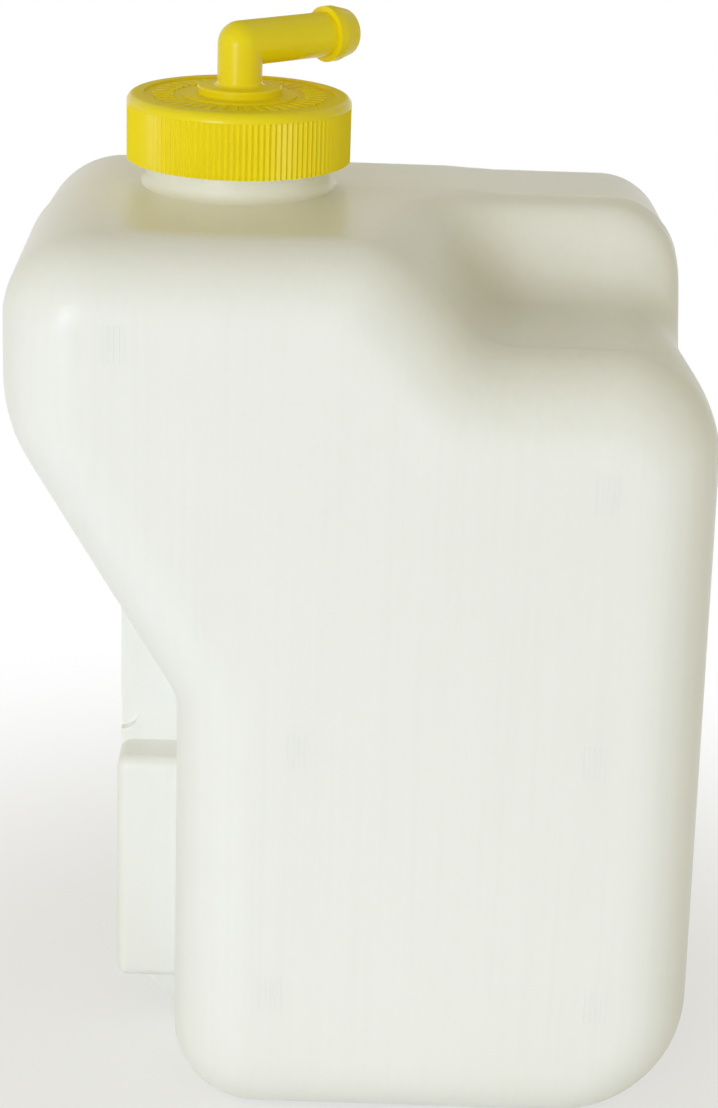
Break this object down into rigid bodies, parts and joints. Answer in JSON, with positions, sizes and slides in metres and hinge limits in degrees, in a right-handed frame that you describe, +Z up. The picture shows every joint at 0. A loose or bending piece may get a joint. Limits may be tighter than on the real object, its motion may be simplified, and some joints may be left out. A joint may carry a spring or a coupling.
{
  "type": "coolant expansion tank",
  "caption": "Blow-moulded translucent coolant expansion tank with a saddle recess, a mounting wing, a yellow ribbed screw cap, a swivelling barbed hose elbow and a dip tube.",
  "frame": {"origin": "middle of the tank's bounding box, on the plane that the tank's bottom rests on", "axes": "+X to the right seen from the front, +Y to the back, +Z up along the filler neck"},
  "size_m": [0.1435, 0.092, 0.2225],
  "materials": {
    "tank": "milky translucent polyethylene, satin",
    "cap": "moulded yellow polypropylene, semi-gloss",
    "gasket": "black rubber, matt",
    "elbow": "moulded yellow polypropylene, semi-gloss",
    "dip_tube": "natural polyethylene, satin"
  },
  "bodies": {
    "tank": {"tank_body": "tank"},
    "seal": {"cap_gasket": "gasket"},
    "cap": {"screw_cap": "cap"},
    "elbow": {"hose_elbow": "elbow", "dip_tube": "dip_tube"}
  },
  "joints": [
    {"name": "cap_lift", "type": "slide", "parent": "tank", "child": "seal", "axis": [0, 0, 1], "range_m": [0, 0.008]},
    {"name": "cap_turn", "type": "hinge", "parent": "seal", "child": "cap", "pos_m": [-0.0284, 0.011, 0.2], "axis": [0, 0, 1], "range_deg": [0, 720]},
    {"name": "elbow_swivel", "type": "hinge", "parent": "seal", "child": "elbow", "pos_m": [-0.0284, 0.011, 0.2168], "axis": [0, 0, 1], "continuous": true}
  ],
  "couplings": [
    {"joint": "cap_lift", "follows": "cap_turn", "m_per_rad": 0.00063662}
  ]
}
